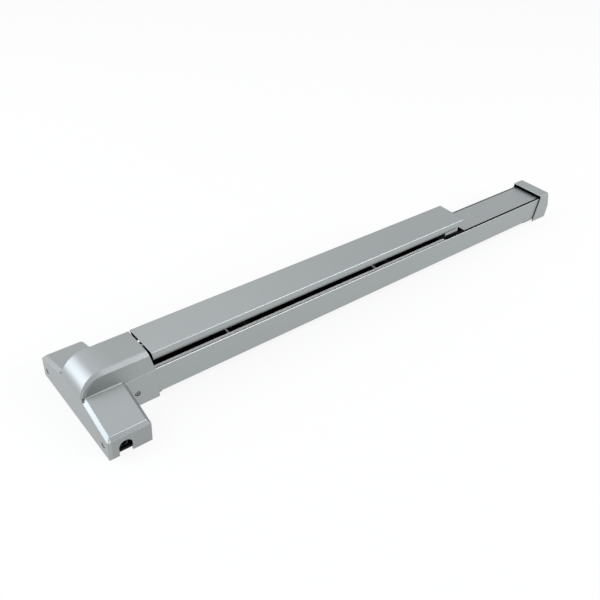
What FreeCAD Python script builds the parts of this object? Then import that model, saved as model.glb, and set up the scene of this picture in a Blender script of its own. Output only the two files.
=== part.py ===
import FreeCAD, Part
import math
import os

# Panic bar with a crossbar head for two vertical rods, lying on its back.
# Millimetres. The origin is the centre of the head's four mounting holes on the door face.
# +X runs along the bar to its tail, +Y along the upper rod, +Z away from the door.

V = FreeCAD.Vector

# Bar and head
BAR_LENGTH = 1000.0
HEAD_WIDTH = 60.0
HEAD_LENGTH = 188.6
ARM_END_HEIGHT = 34.2
ARM_ROOT_RISE = 2.064
COVER_WALL = 2.5
COVER_CHAMFER = 5.0
COVER_EDGE_RADIUS = 1.2
COVER_CORNER_RADIUS = 2.5
NOSE_LENGTH = 96.0
NOSE_HEIGHT = 80.0
NOSE_RADIUS = 33.0
NOSE_TOP_WIDTH = 57.2
NOSE_BASE_WIDTH = 63.8
SHOULDER_HEIGHT = 50.0
SHOULDER_EDGE_RADIUS = 0.6
NOSE_FOOT_RADIUS = 3.0
NOSE_END_RUN = 7.1
SKIRT_END_RUN = 3.7

# Rod outlets and rods' line
ROD_LINE_X = -6.8
ROD_LINE_Z = 11.8
OUTLET_RADIUS = 9.3
OUTLET_RISE = 1.5

# Plates on the door
PLATE_THICKNESS = 5.0
PLATE_EDGE_GAP = 0.3
CHASSIS_END_GAP = 2.8
TONGUE_LENGTH = 84.0
TONGUE_WIDTH = 52.0
HEAD_BOLT_SPACING_X = 42.0
HEAD_BOLT_SPACING_Y = 130.0
BOLT_HOLE_RADIUS = 2.75
TAIL_PLATE_LENGTH = 61.0
TAIL_PLATE_INSET = 4.0
TAIL_BOLT_SPACING = 34.0
TAIL_BOLT_INSET = 18.5

# Channel
CHANNEL_WIDTH = 60.2
CHANNEL_HEIGHT = 44.0
CHANNEL_WALL = 2.0
CHANNEL_EDGE_RADIUS = 1.4
CHANNEL_START_X = 32.0
CHANNEL_END_INSET = 25.0
LIP_DROP = 1.5
LIP_THICKNESS = 2.0
LIP_OPENING = 43.0
LIP_GROOVE_WIDTH = 1.6
LIP_GROOVE_DEPTH = 1.0
LIP_GROOVE_INSET = 1.5
SKIRT_GAP = 0.1

# Tail cover plate and end cap
TAIL_COVER_GAP = 2.1
TAIL_COVER_START_GAP = 13.7
TAIL_COVER_LEG = 6.0
TAIL_COVER_LEG_WALL = 1.2
TAIL_COVER_HOOK = 1.0
CAP_LENGTH = 41.8
CAP_MOUTH_LEAN = 5.0
CAP_HEIGHT = 56.0
CAP_SIDE_WALL = 1.6
CAP_WALL = 2.3
CAP_BEVEL = 12.6
CAP_BEVEL_START = 25.5
CAP_EDGE_RADIUS = 1.5
CAP_GAP = 0.6
CAP_SCREW_HEIGHT = 14.0
CAP_LUG_THICKNESS = 6.0
CAP_LUG_WIDTH = 18.0
CAP_LUG_HEIGHT = 17.0

# Push pad
PAD_LENGTH = 624.8
PAD_WIDTH = 57.4
PAD_TOP = 77.7
PAD_HEIGHT = 17.4
PAD_SIDE_HEIGHT = 7.7
PAD_WALL = 2.0
PAD_TOP_RADIUS = 2.0
PAD_INNER_RADIUS = 1.0
PAD_CURL_RADIUS = 14.0
PAD_TOE_SET = 0.2
PAD_HEAD_GAP = 4.0
PAD_END_BEVEL_RUN = 14.3
PAD_END_BEVEL_DROP = 8.7
PAD_TRAVEL = 12.0
RAIL_WALL = 2.0
RAIL_HOOK = 2.0
RAIL_HOOK_THICKNESS = 1.5
END_GUIDE_LENGTH = 34.6
END_GUIDE_END_INSET = 0.8
END_GUIDE_HEIGHT = 32.0
END_GUIDE_WALL = 2.5
END_GUIDE_SIDE_GAP = 0.8

# Pad brackets, bell cranks and their brackets
FLANGE_THICKNESS = 3.0
FLANGE_WIDTH = 27.0
FLANGE_LENGTH = 30.0
FLANGE_GAP = 0.2
PAD_LEG_THICKNESS = 3.0
PAD_LEG_LENGTH = 16.0
PAD_LEG_INNER_WIDTH = 10.4
CRANK_BRACKET_X = 198.0
CRANK_BRACKET_SPACING = 293.0
BRACKET_SHEET = 2.0
BRACKET_WIDTH = 52.0
BRACKET_TOP_GAP = 0.5
BRACKET_END_HEIGHT = 17.0
BRACKET_END_WIDTH = 24.0
EAR_LENGTH = 16.0
EAR_RISE = 6.0
CRANK_PIVOT_Z = 37.0
CRANK_HUB_RADIUS = 5.5
CRANK_HUB_LENGTH = 23.8
CRANK_END_GAP = 0.3
PAD_ARM = 24.0
PAD_ARM_THICKNESS = 3.0
LINK_ARM = 18.0
LINK_ARM_THICKNESS = 5.0
ARM_TIP_RADIUS = 4.5
PIVOT_RADIUS = 3.0
PIVOT_HEAD_RADIUS = 4.5
PIVOT_HEAD_THICKNESS = 1.5
PIN_RADIUS = 2.5
PIN_END = 0.3
SLOT_CLEARANCE = 0.12
SLOT_END_CLEARANCE = 0.4
RUNNING_CLEARANCE = 0.05
SEAT_CLEARANCE = 0.05
SIDE_CLEARANCE = 0.5
SLIDE_CLEARANCE = 0.3

# Actuating link and return springs
LINK_WIDTH = 16.0
LINK_THICKNESS = 3.0
LINK_TAIL = 22.0
LINK_EAR_THICKNESS = 3.0
LINK_EAR_LENGTH = 14.0
LINK_EAR_RISE = 3.0
SPRING_TAB_OFFSET = 14.0
SPRING_TAB_THICKNESS = 3.0
SPRING_TAB_WIDTH = 12.0
SPRING_LENGTH = 26.0
SPRING_MEAN_RADIUS = 3.8
SPRING_WIRE_RADIUS = 0.7
SPRING_TURNS = 7
SPRING_SEAT_GAP = 0.1

# Head mechanism
ROCKER_INPUT_ARM = 16.0
ROCKER_OUTPUT_ARM = 21.0
ROCKER_PIVOT_Y = 24.0
ROCKER_THICKNESS = 3.0
ROCKER_HUB_RADIUS = 7.0
ROCKER_TIP_RADIUS = 4.5
ROCKER_BOSS_RADIUS = 6.0
ROCKER_HEAD_RADIUS = 5.5
RETRACTOR_WIDTH = 28.0
RETRACTOR_LENGTH = 38.0
RETRACTOR_THICKNESS = 3.0
RETRACTOR_REACH = 7.0
RIVET_RADIUS = 2.0
RIVET_HEAD_RADIUS = 3.6
RIVET_HEAD_THICKNESS = 1.4
RIVET_TAIL = 1.5
CONNECTOR_WIDTH = 12.0
CONNECTOR_HEIGHT = 11.0
CONNECTOR_END_GAP = 7.3
CONNECTOR_TAIL = 9.0
CONNECTOR_THREAD_RADIUS = 4.0
CONNECTOR_THREAD_DEPTH = 22.0
CONNECTOR_PIN_DEPTH = 8.0
GUIDE_START_Y = 50.0
GUIDE_LENGTH = 22.0
GUIDE_WALL = 2.8
GUIDE_PLATE_THICKNESS = 2.0

# Screws
FACE_SCREW_Y = 80.0
FACE_SCREW_Z = 15.4
FACE_LUG_WIDTH = 8.0
FACE_LUG_DEPTH = 5.2
SKIRT_SCREW_X = 44.6
SKIRT_SCREW_Z = 22.0
COVER_SCREW_RADIUS = 1.9
COVER_SCREW_HEAD_RADIUS = 3.4
COVER_SCREW_SINK = 0.6
COVER_SCREW_LENGTH = 9.0
SKIRT_SCREW_LENGTH = 5.5
RECESS_WIDTH = 1.1
RECESS_DEPTH = 1.1
RECESS_LENGTH = 3.4
FLOOR_SCREW_RADIUS = 2.0
FLOOR_SCREW_HEAD_RADIUS = 4.0
FLOOR_SCREW_HEAD = 2.2
FLOOR_SCREW_DEPTH = 3.5
FLOOR_SCREW_SPACING = 30.0
HEAD_FLOOR_SCREW_X = 70.0
TAIL_FLOOR_SCREW_INSET = 10.0
GUIDE_SCREW_RADIUS = 1.0
GUIDE_SCREW_HEAD_RADIUS = 1.8
GUIDE_SCREW_HEAD = 1.2
GUIDE_SCREW_DEPTH = 8.0
GUIDE_SCREW_INSET = 5.0
BRACKET_RIVET_Y = 19.0

# Sizes that follow from the ones above
SPARE = 5.0
TOLERANCE = 1e-3
HEAD_LEFT = -HEAD_WIDTH / 2
HEAD_RIGHT = HEAD_WIDTH / 2
HALF_HEAD = HEAD_LENGTH / 2
BAR_END = HEAD_LEFT + BAR_LENGTH
CHANNEL_HALF = CHANNEL_WIDTH / 2
CHANNEL_BASE = PLATE_THICKNESS
CHANNEL_FLOOR = CHANNEL_BASE + CHANNEL_WALL
CHANNEL_TOP = CHANNEL_BASE + CHANNEL_HEIGHT
CHANNEL_END = BAR_END - CHANNEL_END_INSET
LIP_TOP = CHANNEL_TOP - LIP_DROP
LIP_BOTTOM = LIP_TOP - LIP_THICKNESS
HALF_OPENING = LIP_OPENING / 2
SKIRT_INNER = CHANNEL_HALF + SKIRT_GAP
SKIRT_HALF = SKIRT_INNER + COVER_WALL
ARM_SLOPE = (SHOULDER_HEIGHT + ARM_ROOT_RISE - ARM_END_HEIGHT) / (HALF_HEAD - SKIRT_HALF)
NOSE_DRAFT = (NOSE_BASE_WIDTH - NOSE_TOP_WIDTH) / 2 / (NOSE_HEIGHT - SHOULDER_HEIGHT)
NOSE_TOP_X = HEAD_LEFT + NOSE_LENGTH
PAD_START = NOSE_TOP_X + PAD_HEAD_GAP
PAD_END = PAD_START + PAD_LENGTH
PAD_BOTTOM = PAD_TOP - PAD_HEIGHT
PAD_CEILING = PAD_TOP - PAD_WALL
PAD_HALF = PAD_WIDTH / 2
FLANGE_TOP = PAD_CEILING - FLANGE_GAP
FLANGE_BOTTOM = FLANGE_TOP - FLANGE_THICKNESS
CRANK_SWING = math.asin(PAD_TRAVEL / 2 / PAD_ARM)
LINK_TRAVEL = 2 * LINK_ARM * math.sin(CRANK_SWING)
ROCKER_SWING = math.asin(LINK_TRAVEL / 2 / ROCKER_INPUT_ARM)
ROD_TRAVEL = 2 * ROCKER_OUTPUT_ARM * math.sin(ROCKER_SWING)
BRACKET_FLOOR = CHANNEL_FLOOR + BRACKET_SHEET
LINK_BOTTOM = BRACKET_FLOOR + SLIDE_CLEARANCE
LINK_TOP = LINK_BOTTOM + LINK_THICKNESS
RETRACTOR_TOP = LINK_TOP + RETRACTOR_THICKNESS
CONNECTOR_BOTTOM = ROD_LINE_Z - CONNECTOR_HEIGHT / 2
CONNECTOR_TOP = ROD_LINE_Z + CONNECTOR_HEIGHT / 2
ROCKER_BOTTOM = CONNECTOR_TOP + SLIDE_CLEARANCE
ROCKER_TOP = ROCKER_BOTTOM + ROCKER_THICKNESS
ROCKER_SAG = ROCKER_OUTPUT_ARM * (1 - math.cos(ROCKER_SWING))
ROCKER_PIVOT_X = ROD_LINE_X + ROCKER_OUTPUT_ARM - ROCKER_SAG / 2
CONNECTOR_END = HALF_HEAD - CONNECTOR_END_GAP
PAD_PIN_REACH = PAD_ARM * (1 + math.cos(CRANK_SWING)) / 2
CRANK_PIVOT_OFFSET = BRACKET_SHEET + SLIDE_CLEARANCE + PAD_LEG_LENGTH / 2 + SIDE_CLEARANCE + PAD_PIN_REACH
EAR_INNER = CRANK_HUB_LENGTH / 2 + CRANK_END_GAP
EAR_OUTER = EAR_INNER + BRACKET_SHEET
SPRING_SEAT = SPRING_TAB_OFFSET + SPRING_TAB_THICKNESS + SPRING_LENGTH
SPRING_AXIS_Z = LINK_TOP + SPRING_MEAN_RADIUS + SPRING_WIRE_RADIUS + SIDE_CLEARANCE
BRACKET_LENGTH = CRANK_PIVOT_OFFSET + SPRING_SEAT + BRACKET_SHEET
TAIL_COVER_START = PAD_END + TAIL_COVER_START_GAP
TAIL_COVER_HALF = CHANNEL_HALF - CHANNEL_WALL - TAIL_COVER_GAP
CAP_START = BAR_END - CAP_LENGTH
CAP_INNER = CHANNEL_HALF + CAP_GAP
CAP_HALF = CAP_INNER + CAP_SIDE_WALL
TAIL_PLATE_END = BAR_END - TAIL_PLATE_INSET
TAIL_PLATE_START = TAIL_PLATE_END - TAIL_PLATE_LENGTH
TAIL_BOLT_X = BAR_END - TAIL_BOLT_INSET
CAP_LUG_END = TAIL_PLATE_END - CAP_WALL


# Shapes that several pieces use

def block(x0, x1, y0, y1, z0, z1):
    return Part.makeBox(x1 - x0, y1 - y0, z1 - z0, V(x0, y0, z0))


def rod(radius, start, end):
    along = end - start
    return Part.makeCylinder(radius, along.Length, start, along)


def cone(radius0, radius1, start, end):
    along = end - start
    return Part.makeCone(radius0, radius1, along.Length, start, along)


def fuse(shapes):
    whole = shapes[0].multiFuse(shapes[1:]) if len(shapes) > 1 else shapes[0]
    return whole.removeSplitter()


def mirrored(shape):
    return shape.mirror(V(0, 0, 0), V(0, 1, 0))


def side_prism(points, y0, y1):
    """A prism across the bar from an outline in X and Z."""
    wire = Part.makePolygon([V(x, y0, z) for x, z in points + points[:1]])
    return Part.Face(wire).extrude(V(0, y1 - y0, 0))


def long_prism(points, x0, x1):
    """A prism along the bar from an outline in Y and Z."""
    wire = Part.makePolygon([V(x0, y, z) for y, z in points + points[:1]])
    return Part.Face(wire).extrude(V(x1 - x0, 0, 0))


def both_sides(points):
    """An outline that goes on, mirrored, on the other side of the bar's centre plane."""
    return points + [(-y, z) for y, z in reversed(points)]


def long_edges(shape, wanted):
    """Straight edges along the bar whose middle passes a test of Y and Z."""
    found = []
    for edge in shape.Edges:
        ends = [v.Point for v in edge.Vertexes]
        if len(ends) == 2 and ends[0].distanceToPoint(ends[1]) > abs(ends[0].x - ends[1].x) + TOLERANCE:
            continue
        if len(ends) == 2 and wanted(ends[0].y, ends[0].z):
            found.append(edge)
    return found


def upright_edges(shape, x, y):
    """Straight upright edges that stand at X = x and at Y = y or -y."""
    found = []
    for edge in shape.Edges:
        box = edge.BoundBox
        if box.XLength < TOLERANCE and box.YLength < TOLERANCE:
            if abs(box.XMin - x) < TOLERANCE and abs(abs(box.YMin) - y) < TOLERANCE:
                found.append(edge)
    return found


def link_plate(radius0, start, radius1, end, thickness, normal):
    """A flat lever arm: two round ends joined by straight sides."""
    along = end - start
    across = normal.cross(along).normalize()
    disc0 = Part.makeCylinder(radius0, thickness, start, normal)
    disc1 = Part.makeCylinder(radius1, thickness, end, normal)
    side0 = across * radius0
    side1 = across * radius1
    corners = [start + side0, end + side1, end - side1, start - side0]
    web = Part.Face(Part.makePolygon(corners + corners[:1])).extrude(normal * thickness)
    return fuse([disc0, disc1, web])


def slot_cutter(centre, run, half_width, along, normal, depth):
    """The space of a slot: its centre, the run of its two round ends, and how deep it goes."""
    start = centre - along * (run / 2)
    end = centre + along * (run / 2)
    across = normal.cross(along).normalize() * half_width
    discs = [Part.makeCylinder(half_width, depth, p, normal) for p in (start, end)]
    corners = [start + across, end + across, end - across, start - across]
    web = Part.Face(Part.makePolygon(corners + corners[:1])).extrude(normal * depth)
    return fuse(discs + [web])


def recess_cutter(head_centre, outward, up):
    """The cross recess of a driver, sunk into a screw head."""
    side = outward.cross(up)
    cutters = []
    for long_way, short_way in ((up, side), (side, up)):
        a = long_way * (RECESS_LENGTH / 2)
        b = short_way * (RECESS_WIDTH / 2)
        base = head_centre - outward * RECESS_DEPTH
        corners = [base + a + b, base - a + b, base - a - b, base + a - b]
        face = Part.Face(Part.makePolygon(corners + corners[:1]))
        cutters.append(face.extrude(outward * (RECESS_DEPTH + SPARE)))
    return fuse(cutters)


def countersunk_screw(face_point, outward, up, length):
    """A countersunk screw whose head lies a little below a face."""
    head_top = face_point - outward * COVER_SCREW_SINK
    head_end = head_top - outward * (COVER_SCREW_HEAD_RADIUS - COVER_SCREW_RADIUS)
    head = cone(COVER_SCREW_HEAD_RADIUS, COVER_SCREW_RADIUS, head_top, head_end)
    shank = rod(COVER_SCREW_RADIUS, head_end, face_point - outward * length)
    return fuse([head, shank]).cut(recess_cutter(head_top, outward, up))


def countersunk_hole(face_point, outward, depth):
    """The hole for such a screw, with its seat clearance."""
    radius = COVER_SCREW_RADIUS + SEAT_CLEARANCE
    rim_radius = COVER_SCREW_HEAD_RADIUS + COVER_SCREW_SINK + SEAT_CLEARANCE
    head = cone(rim_radius, radius, face_point, face_point - outward * (rim_radius - radius))
    mouth = rod(rim_radius, face_point, face_point + outward * SPARE)
    return fuse([head, mouth, rod(radius, face_point, face_point - outward * depth)])


def drilled(shape, cutters):
    for cutter in cutters:
        shape = shape.cut(cutter)
    return shape


# Head cover: a T-shaped cast shell, its raised nose level with the pad

def nose_outline(wall, end_x, bottom):
    """The nose from the side; wall is how far it lies inside the outer face."""
    radius = NOSE_RADIUS - wall
    centre = V(HEAD_LEFT + NOSE_RADIUS, 0, NOSE_HEIGHT - NOSE_RADIUS)
    left = centre + V(-radius, 0, 0)
    top = centre + V(0, 0, radius)
    middle = centre + V(-radius * math.sqrt(0.5), 0, radius * math.sqrt(0.5))
    foot = V(left.x, 0, bottom)
    if end_x is None:
        ends = [V(NOSE_TOP_X, 0, NOSE_HEIGHT), V(NOSE_TOP_X + NOSE_END_RUN, 0, SHOULDER_HEIGHT)]
        ends.append(V(NOSE_TOP_X + NOSE_END_RUN + SKIRT_END_RUN, 0, bottom))
    else:
        ends = [V(end_x, 0, top.z), V(end_x, 0, bottom)]
    edges = [Part.LineSegment(foot, left).toShape(), Part.Arc(left, middle, top).toShape()]
    for a, b in zip([top] + ends, ends + [foot]):
        edges.append(Part.LineSegment(a, b).toShape())
    return Part.Wire(edges)


def nose_solid(wall, chamfer, end_x, low_half, bottom):
    """The drafted nose above the shoulder and the straight skirt below it."""
    reach = SKIRT_HALF + SPARE
    face = Part.Face(nose_outline(wall, end_x, bottom))
    face.translate(V(0, -reach, 0))
    slab = face.extrude(V(0, 2 * reach, 0))
    base_half = NOSE_BASE_WIDTH / 2 - wall
    low_z = SHOULDER_HEIGHT - SPARE
    high_z = NOSE_HEIGHT + SPARE
    high_half = base_half - NOSE_DRAFT * (high_z - SHOULDER_HEIGHT)
    outline = [(base_half + NOSE_DRAFT * SPARE, low_z), (high_half, high_z)]
    far_x = slab.BoundBox.XMax + SPARE
    near_x = slab.BoundBox.XMin - SPARE
    upper = slab.common(long_prism(both_sides(outline), near_x, far_x))
    rims = []
    for edge in upper.Edges:
        box = edge.BoundBox
        on_side = min(abs(box.YMin), abs(box.YMax)) > base_half / 2
        along_roof = box.XLength > box.ZLength / 2
        if on_side and along_roof and box.ZMax > NOSE_HEIGHT - wall - TOLERANCE:
            rims.append(edge)
    upper = upper.makeChamfer(chamfer, rims)
    upper = upper.common(block(near_x, far_x, -reach, reach, SHOULDER_HEIGHT, high_z))
    lower = slab.common(block(near_x, far_x, -low_half, low_half, bottom - SPARE, SHOULDER_HEIGHT))
    return fuse([upper, lower])


def arm_solid(wall, chamfer, bottom):
    """One arm of the crossbar, on the +Y side, its roof falling to the rod outlet."""
    inner_y = SKIRT_HALF - COVER_WALL / 2
    end_y = HALF_HEAD - wall
    half = HEAD_WIDTH / 2 - wall
    end_z = ARM_END_HEIGHT + ARM_SLOPE * wall - wall * math.sqrt(1 + ARM_SLOPE ** 2)
    fall = ARM_SLOPE * (end_y - inner_y)
    roof_z = end_z + fall
    section = both_sides([(half, bottom - fall), (half, roof_z - chamfer), (half - chamfer, roof_z)])
    corners = [V(x, inner_y, z) for x, z in section]
    swept = Part.Face(Part.makePolygon(corners + corners[:1])).extrude(V(0, end_y - inner_y, -fall))
    side_view = [
        (inner_y, bottom), (end_y, bottom), (end_y, end_z - chamfer),
        (end_y - chamfer, end_z + ARM_SLOPE * chamfer), (end_y - chamfer, roof_z), (inner_y, roof_z),
    ]
    return swept.common(long_prism(side_view, -HEAD_WIDTH, HEAD_WIDTH)).removeSplitter()


def rounded_arm():
    """The arm's outside, its corners rounded where they show."""
    arm = arm_solid(0.0, COVER_CHAMFER, 0.0)
    corners = [edge for edge in arm.Edges
               if edge.BoundBox.ZMax > TOLERANCE and edge.BoundBox.YMax > SKIRT_HALF]
    return arm.makeFillet(COVER_EDGE_RADIUS, corners)


def rounded_nose():
    """The nose's outside, its long rims rounded."""
    nose = nose_solid(0.0, COVER_CHAMFER, None, SKIRT_HALF, 0.0)
    rims = [edge for edge in nose.Edges
            if edge.BoundBox.ZMax > NOSE_HEIGHT - COVER_CHAMFER - TOLERANCE
            and edge.BoundBox.XLength > NOSE_RADIUS / 2]
    return nose.makeFillet(COVER_EDGE_RADIUS, rims)


def nose_foot_cove():
    """The cove in the corner of an arm's roof and the nose's side, on the +Y side."""
    base_half = NOSE_BASE_WIDTH / 2
    roof_at_base = ARM_END_HEIGHT + ARM_SLOPE * (HALF_HEAD - base_half)
    corner_z = (roof_at_base - ARM_SLOPE * NOSE_DRAFT * SHOULDER_HEIGHT) / (1 - ARM_SLOPE * NOSE_DRAFT)
    roof_half = HEAD_WIDTH / 2 - COVER_CHAMFER
    x0 = -roof_half - SPARE
    corner = V(x0, base_half - NOSE_DRAFT * (corner_z - SHOULDER_HEIGHT), corner_z)
    up_side = V(0, -NOSE_DRAFT, 1).normalize()
    down_roof = V(0, 1, -ARM_SLOPE).normalize()
    outward = (up_side + down_roof).normalize()
    half_angle = up_side.getAngle(down_roof) / 2
    run = NOSE_FOOT_RADIUS / math.tan(half_angle)
    high = corner + up_side * run
    low = corner + down_roof * run
    middle = corner + outward * (NOSE_FOOT_RADIUS / math.sin(half_angle) - NOSE_FOOT_RADIUS)
    root = corner - outward * (COVER_WALL / 2)
    edges = [Part.Arc(high, middle, low).toShape(), Part.LineSegment(low, root).toShape(),
             Part.LineSegment(root, high).toShape()]
    bead = Part.Face(Part.Wire(edges)).extrude(V(2 * (roof_half + SPARE), 0, 0))
    reach = NOSE_FOOT_RADIUS + COVER_WALL
    roof_strip = [(-roof_half - reach, -reach), (-roof_half + reach, reach),
                  (roof_half - reach, reach), (roof_half + reach, -reach)]
    start = corner - down_roof * reach
    corners = [V(x, start.y, start.z + z) for x, z in roof_strip]
    between_chamfers = Part.Face(Part.makePolygon(corners + corners[:1])).extrude(down_roof * (2 * reach))
    return bead.common(between_chamfers)


def rod_outlet():
    """The arched notch in an arm's end, open to the door, where the rod comes out."""
    y0 = HALF_HEAD - COVER_WALL - SPARE
    y1 = HALF_HEAD + SPARE
    arch_z = ROD_LINE_Z + OUTLET_RISE
    arch = rod(OUTLET_RADIUS, V(ROD_LINE_X, y0, arch_z), V(ROD_LINE_X, y1, arch_z))
    foot = block(ROD_LINE_X - OUTLET_RADIUS, ROD_LINE_X + OUTLET_RADIUS, y0, y1, -SPARE, arch_z)
    return fuse([arch, foot])


def shoulder_rounding():
    """What comes off the skirt's upper edge to round it, past the arm on the +Y side."""
    y = SKIRT_HALF - SHOULDER_EDGE_RADIUS
    z = SHOULDER_HEIGHT - SHOULDER_EDGE_RADIUS
    x0 = HEAD_RIGHT + COVER_CORNER_RADIUS
    x1 = NOSE_TOP_X + NOSE_END_RUN + SPARE
    corner = block(x0, x1, y, SKIRT_HALF + SPARE, z, SHOULDER_HEIGHT + SHOULDER_EDGE_RADIUS)
    return corner.cut(rod(SHOULDER_EDGE_RADIUS, V(x0 - SPARE, y, z), V(x1 + SPARE, y, z)))


def head_cover():
    inner_chamfer = COVER_CHAMFER - COVER_WALL * (2 - math.sqrt(2))
    end_x = NOSE_TOP_X + NOSE_END_RUN + SKIRT_END_RUN + SPARE
    outer_arm = rounded_arm()
    cove = nose_foot_cove()
    inner_arm = arm_solid(COVER_WALL, inner_chamfer, -SPARE)
    outer = fuse([rounded_nose(), outer_arm, mirrored(outer_arm), cove, mirrored(cove)])
    outer = outer.makeFillet(COVER_CORNER_RADIUS, upright_edges(outer, HEAD_RIGHT, SKIRT_HALF))
    bridge = block(HEAD_LEFT + COVER_WALL, HEAD_RIGHT - COVER_WALL, -SKIRT_HALF, SKIRT_HALF,
                   -SPARE, CHANNEL_TOP)
    hollow = nose_solid(COVER_WALL, inner_chamfer, end_x, SKIRT_INNER, -SPARE)
    rounding = shoulder_rounding()
    cover = drilled(outer, [hollow, bridge, inner_arm, mirrored(inner_arm),
                            rounding, mirrored(rounding)])
    outlet = rod_outlet()
    holes = [outlet, mirrored(outlet)]
    face_hole = countersunk_hole(V(HEAD_LEFT, FACE_SCREW_Y, FACE_SCREW_Z), V(-1, 0, 0), COVER_SCREW_LENGTH)
    skirt_point = V(SKIRT_SCREW_X, SKIRT_HALF, SKIRT_SCREW_Z)
    skirt_hole = countersunk_hole(skirt_point, V(0, 1, 0), SKIRT_SCREW_LENGTH)
    for hole in (face_hole, skirt_hole):
        holes += [hole, mirrored(hole)]
    return drilled(cover, holes).removeSplitter()


# Chassis: the head's cast plate on the door, with guides, bosses and lugs

def guide_walls():
    """Bed and side walls that guide one rod connector, on the +Y side."""
    inner = CONNECTOR_WIDTH / 2 + SLIDE_CLEARANCE
    outer = inner + GUIDE_WALL
    y0 = GUIDE_START_Y
    y1 = GUIDE_START_Y + GUIDE_LENGTH
    bed_top = CONNECTOR_BOTTOM - SLIDE_CLEARANCE
    wall_top = CONNECTOR_TOP + SLIDE_CLEARANCE
    bed = block(ROD_LINE_X - outer, ROD_LINE_X + outer, y0, y1, 0, bed_top)
    left = block(ROD_LINE_X - outer, ROD_LINE_X - inner, y0, y1, 0, wall_top)
    right = block(ROD_LINE_X + inner, ROD_LINE_X + outer, y0, y1, 0, wall_top)
    walls = fuse([bed, left, right])
    return drilled(walls, guide_screw_holes())


def guide_screw_points():
    middle = CONNECTOR_WIDTH / 2 + SLIDE_CLEARANCE + GUIDE_WALL / 2
    near = V(ROD_LINE_X - middle, GUIDE_START_Y + GUIDE_SCREW_INSET, 0)
    far = V(ROD_LINE_X + middle, GUIDE_START_Y + GUIDE_LENGTH - GUIDE_SCREW_INSET, 0)
    return [near, far]


def guide_screw_holes():
    top = CONNECTOR_TOP + SLIDE_CLEARANCE + GUIDE_PLATE_THICKNESS
    radius = GUIDE_SCREW_RADIUS + SEAT_CLEARANCE
    low = V(0, 0, top - GUIDE_SCREW_DEPTH)
    high = V(0, 0, top + SPARE)
    return [rod(radius, p + low, p + high) for p in guide_screw_points()]


def rocker_boss():
    return rod(ROCKER_BOSS_RADIUS, V(ROCKER_PIVOT_X, ROCKER_PIVOT_Y, 0),
               V(ROCKER_PIVOT_X, ROCKER_PIVOT_Y, ROCKER_BOTTOM - SLIDE_CLEARANCE))


def face_lug():
    x0 = HEAD_LEFT + COVER_WALL + PLATE_EDGE_GAP
    y0 = FACE_SCREW_Y - FACE_LUG_WIDTH / 2
    return block(x0, x0 + FACE_LUG_DEPTH, y0, y0 + FACE_LUG_WIDTH, 0, FACE_SCREW_Z + FACE_LUG_DEPTH)


def head_chassis():
    half_x = HEAD_WIDTH / 2 - COVER_WALL - PLATE_EDGE_GAP
    half_y = HALF_HEAD - COVER_WALL - CHASSIS_END_GAP
    plate = block(-half_x, half_x, -half_y, half_y, 0, PLATE_THICKNESS)
    tongue = block(0, TONGUE_LENGTH, -TONGUE_WIDTH / 2, TONGUE_WIDTH / 2, 0, PLATE_THICKNESS)
    pieces = [plate, tongue]
    for piece in (guide_walls(), rocker_boss(), face_lug()):
        pieces += [piece, mirrored(piece)]
    chassis = fuse(pieces)
    cutters = []
    for sx in (-1, 1):
        for sy in (-1, 1):
            foot = V(sx * HEAD_BOLT_SPACING_X / 2, sy * HEAD_BOLT_SPACING_Y / 2, -SPARE)
            cutters.append(rod(BOLT_HOLE_RADIUS, foot, foot + V(0, 0, PLATE_THICKNESS + 2 * SPARE)))
    pivot_foot = V(ROCKER_PIVOT_X, ROCKER_PIVOT_Y, PLATE_THICKNESS)
    pivot_hole = rod(PIVOT_RADIUS + SEAT_CLEARANCE, pivot_foot, pivot_foot + V(0, 0, ROCKER_TOP))
    lug_mouth = V(HEAD_LEFT, FACE_SCREW_Y, FACE_SCREW_Z)
    lug_hole = rod(COVER_SCREW_RADIUS + SEAT_CLEARANCE, lug_mouth, lug_mouth + V(COVER_SCREW_LENGTH, 0, 0))
    for hole in (pivot_hole, lug_hole):
        cutters += [hole, mirrored(hole)]
    return drilled(chassis, cutters + floor_screw_cutters(HEAD_FLOOR_SCREW_X))


# Channel: an extruded trough with inturned lips

def channel_section():
    half = CHANNEL_HALF
    inner = half - CHANNEL_WALL
    groove_out = inner - LIP_GROOVE_INSET
    groove_in = groove_out - LIP_GROOVE_WIDTH
    groove_z = LIP_TOP - LIP_GROOVE_DEPTH
    return [
        (half, CHANNEL_BASE), (half, CHANNEL_TOP), (inner, CHANNEL_TOP), (inner, LIP_TOP),
        (groove_out, LIP_TOP), (groove_out, groove_z), (groove_in, groove_z), (groove_in, LIP_TOP),
        (HALF_OPENING, LIP_TOP), (HALF_OPENING, LIP_BOTTOM), (inner, LIP_BOTTOM), (inner, CHANNEL_FLOOR),
    ]


def channel():
    body = long_prism(both_sides(channel_section()), CHANNEL_START_X, CHANNEL_END)
    corners = long_edges(body, lambda y, z: abs(abs(y) - CHANNEL_HALF) < TOLERANCE)
    body = body.makeFillet(CHANNEL_EDGE_RADIUS, corners)
    cutters = floor_screw_cutters(HEAD_FLOOR_SCREW_X)
    cutters += floor_screw_cutters(TAIL_PLATE_START + TAIL_FLOOR_SCREW_INSET)
    radius = COVER_SCREW_RADIUS + SEAT_CLEARANCE
    screw = rod(radius, V(SKIRT_SCREW_X, CHANNEL_HALF - SPARE, SKIRT_SCREW_Z),
                V(SKIRT_SCREW_X, CHANNEL_HALF + SPARE, SKIRT_SCREW_Z))
    cutters += [screw, mirrored(screw)]
    for start in crank_bracket_starts():
        for x, y in bracket_rivet_points(start):
            cutters.append(rod(RIVET_RADIUS + SEAT_CLEARANCE, V(x, y, 0), V(x, y, CHANNEL_FLOOR + SPARE)))
    return drilled(body, cutters)


def floor_screw_points(x):
    return [V(x, side * FLOOR_SCREW_SPACING / 2, CHANNEL_FLOOR) for side in (-1, 1)]


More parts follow.
